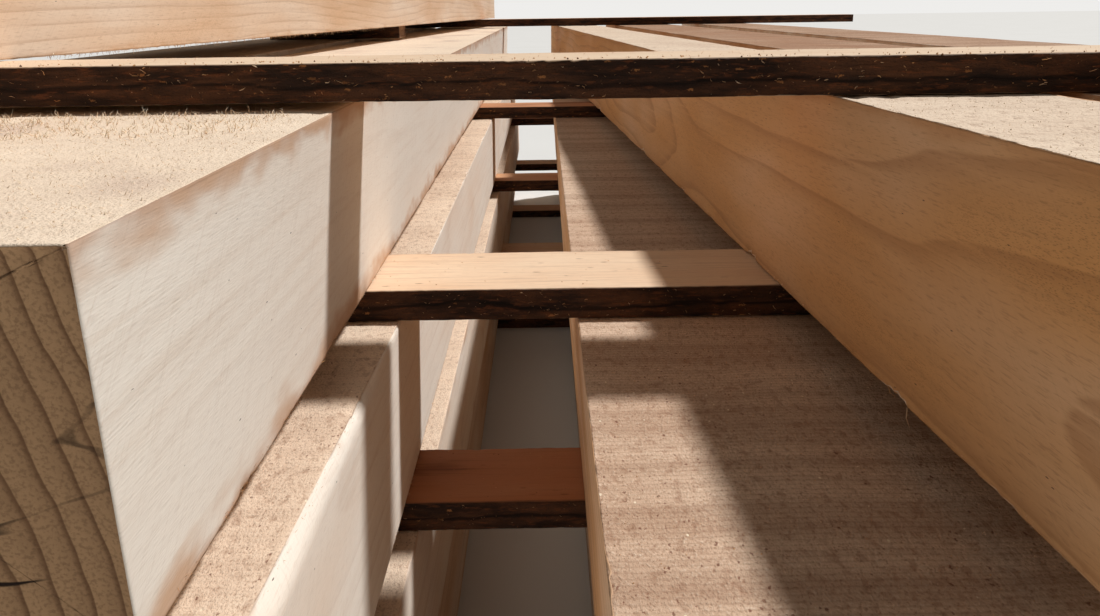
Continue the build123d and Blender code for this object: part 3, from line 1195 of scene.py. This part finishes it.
# %% Spikes and crumbs
SPIKE_FACES = np.array([
    [0, 2, 1], [0, 1, 4], [0, 4, 3], [1, 2, 5], [1, 5, 4], [2, 0, 3], [2, 3, 5],
    [3, 4, 6], [4, 5, 6], [5, 3, 6],
])
CRUMB_FACES = np.array([
    [0, 2, 4], [2, 1, 4], [1, 3, 4], [3, 0, 4], [2, 0, 5], [1, 2, 5], [3, 1, 5], [0, 3, 5],
])
ROOT_DEPTH = 0.3 * MM
SWAY, SWERVE = 0.5, 0.7
KNEE_SHARE, CRUMB_LIFT = 0.7, 0.3
OCTAHEDRON = np.array([[1, 0, 0], [-1, 0, 0], [0, 1, 0], [0, -1, 0], [0, 0, 1], [0, 0, -1]])


def many(name, points, faces, tones, smooth):
    """One mesh of the same small body many times. Points is over (body, point,
    coordinate), and each body's faces are the same triangles of its points."""
    count, size = points.shape[:2]
    corners = (faces + size * np.arange(count)[:, None, None]).ravel()
    sizes = np.full(len(corners) // 3, 3)
    mesh = new_mesh(name, points.reshape(-1, 3), corners, sizes, smooth)
    carry(mesh, "tone", "FLOAT", np.repeat(tones, size))
    mesh.materials.append(torn_fibre)
    return mesh


def swung(first, second, angle):
    """The first direction turned by an angle towards the second."""
    return first * np.cos(angle) + second * np.sin(angle)


def spikes(seat, draw, length, thickness, lift):
    """Spikes from their roots: three points round the root, three thinner ones
    at the knee and a tip. Up to the knee a spike rises by its lift, beyond it
    by more or less; it points along the grain, either way, give or take."""
    roots, outward, grain = seat
    shape = (len(roots), 1)
    size = draw.uniform(*np.multiply(length, MM), shape) * draw.uniform(0.4, 1.0, shape)
    thick = draw.uniform(*np.multiply(thickness, MM), shape)
    turn = draw.normal(0, SWAY, shape)
    swerve = turn + draw.normal(0, SWERVE, shape)
    way = draw.choice([-1.0, 1.0], shape)
    rise = draw.uniform(*lift, shape)
    bent = rise + draw.uniform(-0.7, 0.5, shape)

    aside = np.cross(outward, grain)
    lower = swung(way * swung(grain, aside, turn), outward, rise)
    upper = swung(way * swung(grain, aside, swerve), outward, bent)
    foot = roots - outward * ROOT_DEPTH
    knee = foot + lower * (size * 0.5 + ROOT_DEPTH)
    tip = knee + upper * size * 0.5
    flat = np.cross(lower, outward)
    flat /= np.linalg.norm(flat, axis=-1, keepdims=True)
    other = np.cross(lower, flat)
    turns = FULL_TURN / 3 * np.arange(3)[:, None]
    girth = thick[:, None] * swung(flat[:, None], other[:, None], turns)
    return np.concatenate([
        foot[:, None] + girth, knee[:, None] + KNEE_SHARE * girth, tip[:, None],
    ], axis=1)


def crumbs(seat, draw, size):
    """Double pyramids with six points at random distances from the middle,
    which lies above the skin by a share of the largest size."""
    roots, outward = seat[:2]
    count = len(roots)
    low, high = np.multiply(size, MM)
    middle = roots + outward * (CRUMB_LIFT * high)
    reach = draw.uniform(low, high, (count, 1, 1)) * draw.uniform(0.5, 1.0, (count, 6, 1))
    return middle[:, None] + OCTAHEDRON * reach


FIBRE_PALE, FIBRE_TAN, FIBRE_BROWN = paint(252, 234, 206), paint(220, 168, 116), paint(104, 60, 36)


def make_fibre_finish():
    """From pale over tan to brown by each fibre's own tone."""
    finish = new_finish("torn_fibre")
    place = finish.node("TexCoord", {}, {}, "Object")
    shade = finish.noise(place, waves(500.0, 500.0), 1.0)
    mixed = finish.attribute("tone") + (shade - 0.5) * 0.3
    finish.colour = finish.blend(mixed.ramp(0.0, 0.5), FIBRE_PALE, FIBRE_TAN)
    finish.coat(mixed.ramp(0.5, 1.0), FIBRE_BROWN)
    return finish.close(0.75, shade, 0.1 * MM, 0.25)


torn_fibre = make_fibre_finish()


# %% [markdown]
# ## Where the fuzz is
#
# The table says which side of which piece is hairy, over what stretch, how
# long and thick its fibres are and how steeply they stand. The highest tops
# are fuzziest right before the strips, where nothing has rubbed them.

# %% Fuzz
skins = {**timbers, **strips}
EVERYWHERE, LOWER_EDGE, UPPER_EDGE = (0.0, 1.0), (0.0, 0.03), (0.97, 1.0)
BARK_FACE, SPLIT_EDGE = (0.04, 0.97), (0.0, 0.02)
FUZZ = [
    # piece, side, stretch along (m), share of the side's width, how many,
    # length (mm), thickness (mm), lift (radians), tone
    ("timber_4_left_1", TOP, (0.005, 0.250), (0.02, 1.0), 2400,
     (1.2, 4.0), (0.09, 0.16), (0.1, 1.0), (0.0, 0.25)),
    ("timber_4_left_1", TOP, (0.165, 0.252), (0.10, 1.0), 1150,
     (2.5, 8.0), (0.13, 0.26), (0.1, 1.1), (0.0, 0.28)),
    ("timber_3_left_1", TOP, (0.005, 0.345), (0.55, 1.0), 1500,
     (0.8, 2.8), (0.07, 0.11), (0.1, 0.9), (0.1, 0.7)),
    ("timber_3_right_1", TOP, (0.005, 0.33), EVERYWHERE, 1500,
     (0.8, 2.6), (0.06, 0.11), (0.1, 0.8), (0.3, 0.8)),
    ("timber_4_right_1", TOP, (0.005, 0.25), EVERYWHERE, 800,
     (0.8, 2.8), (0.06, 0.10), (0.1, 0.9), (0.0, 0.15)),
    ("timber_4_left_1", RIGHT, (0.02, 0.40), LOWER_EDGE, 320,
     (0.8, 3.2), (0.06, 0.12), (0.1, 1.0), (0.1, 0.6)),
    ("timber_3_left_1", RIGHT, (0.02, 0.50), LOWER_EDGE, 360,
     (0.8, 3.6), (0.06, 0.12), (0.1, 1.0), (0.1, 0.6)),
    ("timber_3_left_1", RIGHT, (0.02, 0.50), UPPER_EDGE, 260,
     (0.8, 3.0), (0.06, 0.12), (0.1, 1.0), (0.1, 0.6)),
    ("timber_4_right_1", LEFT, (0.02, 0.60), UPPER_EDGE, 420,
     (0.8, 3.4), (0.06, 0.13), (0.1, 0.9), (0.2, 0.7)),
    ("timber_5_left_1", BOTTOM, (0.36, 1.20), (0.98, 1.0), 620,
     (1.2, 6.5), (0.10, 0.20), (0.3, 1.4), (0.0, 0.6)),
    ("spacer_5_near", TOP, (0.03, 1.19), EVERYWHERE, 520,
     (0.8, 3.0), (0.08, 0.15), (0.2, 1.2), (0.0, 0.7)),
    ("spacer_5_near", RIGHT, (0.0, 1.19), BARK_FACE, 800,
     (0.8, 3.4), (0.09, 0.17), (0.05, 0.7), (0.3, 0.85)),
    ("spacer_4_near", RIGHT, (0.25, 0.75), BARK_FACE, 220,
     (1.0, 3.6), (0.09, 0.18), (0.05, 0.7), (0.3, 0.9)),
    ("spacer_3_near", RIGHT, (0.30, 0.70), BARK_FACE, 140,
     (1.0, 3.6), (0.09, 0.18), (0.05, 0.7), (0.3, 0.9)),
]
CURLS = [
    ("timber_4_left_1", TOP, (0.150, 0.250), (0.30, 1.0), 60,
     (3.0, 9.0), (0.16, 0.30), (0.1, 1.0), (0.0, 0.30)),
    ("timber_3_left_1", TOP, (0.240, 0.345), (0.55, 1.0), 60,
     (2.5, 7.0), (0.14, 0.26), (0.1, 1.0), (0.1, 0.6)),
    ("timber_3_right_1", TOP, (0.180, 0.330), (0.0, 0.9), 50,
     (2.0, 5.0), (0.12, 0.24), (0.1, 0.8), (0.2, 0.8)),
    ("spacer_5_near", RIGHT, (0.02, 1.18), (0.05, 0.95), 150,
     (1.8, 5.0), (0.20, 0.38), (0.1, 0.9), (0.2, 0.6)),
    ("spacer_4_near", RIGHT, (0.28, 0.72), (0.05, 0.95), 36,
     (2.0, 5.0), (0.20, 0.36), (0.1, 0.9), (0.3, 0.8)),
    ("spacer_3_near", RIGHT, (0.30, 0.68), (0.05, 0.95), 24,
     (2.0, 5.0), (0.20, 0.36), (0.1, 0.9), (0.3, 0.8)),
]
SPLINTERS = [
    ("timber_4_right_1", LEFT, (0.10, 0.55), (0.985, 1.0), 16,
     (5.0, 13.0), (0.25, 0.6), (0.0, 0.3), (0.2, 0.5)),
    ("timber_4_left_1", RIGHT, (0.10, 0.45), SPLIT_EDGE, 9,
     (3.0, 7.0), (0.2, 0.4), (0.0, 0.4), (0.3, 0.6)),
    ("timber_3_left_1", RIGHT, (0.10, 0.45), SPLIT_EDGE, 9,
     (3.0, 8.0), (0.2, 0.4), (0.0, 0.4), (0.3, 0.6)),
    ("timber_5_left_1", RIGHT, (0.15, 0.80), SPLIT_EDGE, 10,
     (4.0, 9.0), (0.2, 0.4), (0.0, 0.4), (0.1, 0.5)),
]


def scatter(kind, table, body, faces, seeds, smooth=True):
    """One mesh of small bodies for each row of a table, made by its own seed.
    What stands in a row between the count and the tone is up to the body."""
    first, step = seeds
    for number, row in enumerate(table, start=1):
        name, side, lengthwise, share, count, *sizes, tones = row
        draw = np.random.default_rng(first + step * number)
        spots = draw.uniform(*lengthwise, count), draw.uniform(*share, count)
        points = body(rooted(skins[name], side, *spots), draw, *sizes)
        mesh = many(f"{kind}_{number}", points, faces, draw.uniform(*tones, count), smooth)
        show(mesh, name.partition("_")[0])
    print(kind, sum(row[4] for row in table), "of them")


HAIR_SEEDS, SPLINTER_SEEDS = (4, 100), (8, 100)
scatter("fuzz", FUZZ, spikes, SPIKE_FACES, HAIR_SEEDS)
scatter("curl", CURLS, spikes, SPIKE_FACES, HAIR_SEEDS)
scatter("splinter", SPLINTERS, spikes, SPIKE_FACES, SPLINTER_SEEDS)


# %% [markdown]
# ## Sawdust and chips
#
# Loose sawdust, from pale to brown, lies on the faces that point up, and chips
# of bark lie along the strips.

# %% Sawdust
DUST = [
    # piece, side, stretch along (m), share of its width, how many, size (mm), tone
    ("timber_4_left_1", TOP, (0.003, 0.252), (0.02, 1.0), 700, (0.15, 0.45), (0.0, 0.2)),
    ("timber_3_left_1", TOP, (0.003, 0.345), (0.50, 1.0), 900, (0.2, 0.6), (0.2, 1.1)),
    ("timber_3_right_1", TOP, (0.003, 0.33), EVERYWHERE, 600, (0.15, 0.5), (0.0, 0.7)),
    ("timber_4_right_1", TOP, (0.003, 0.25), EVERYWHERE, 260, (0.2, 0.5), (0.0, 0.15)),
    ("spacer_5_near", TOP, (0.05, 1.19), (0.0, 0.25), 360, (0.25, 0.9), (0.0, 1.0)),
    ("spacer_4_near", TOP, (0.30, 0.66), EVERYWHERE, 70, (0.2, 0.6), (0.2, 0.8)),
    ("spacer_3_near", TOP, (0.33, 0.60), EVERYWHERE, 60, (0.2, 0.7), (0.5, 1.0)),
]
DUST_SEEDS = (7000, 1)
scatter("dust", DUST, crumbs, CRUMB_FACES, DUST_SEEDS, smooth=False)
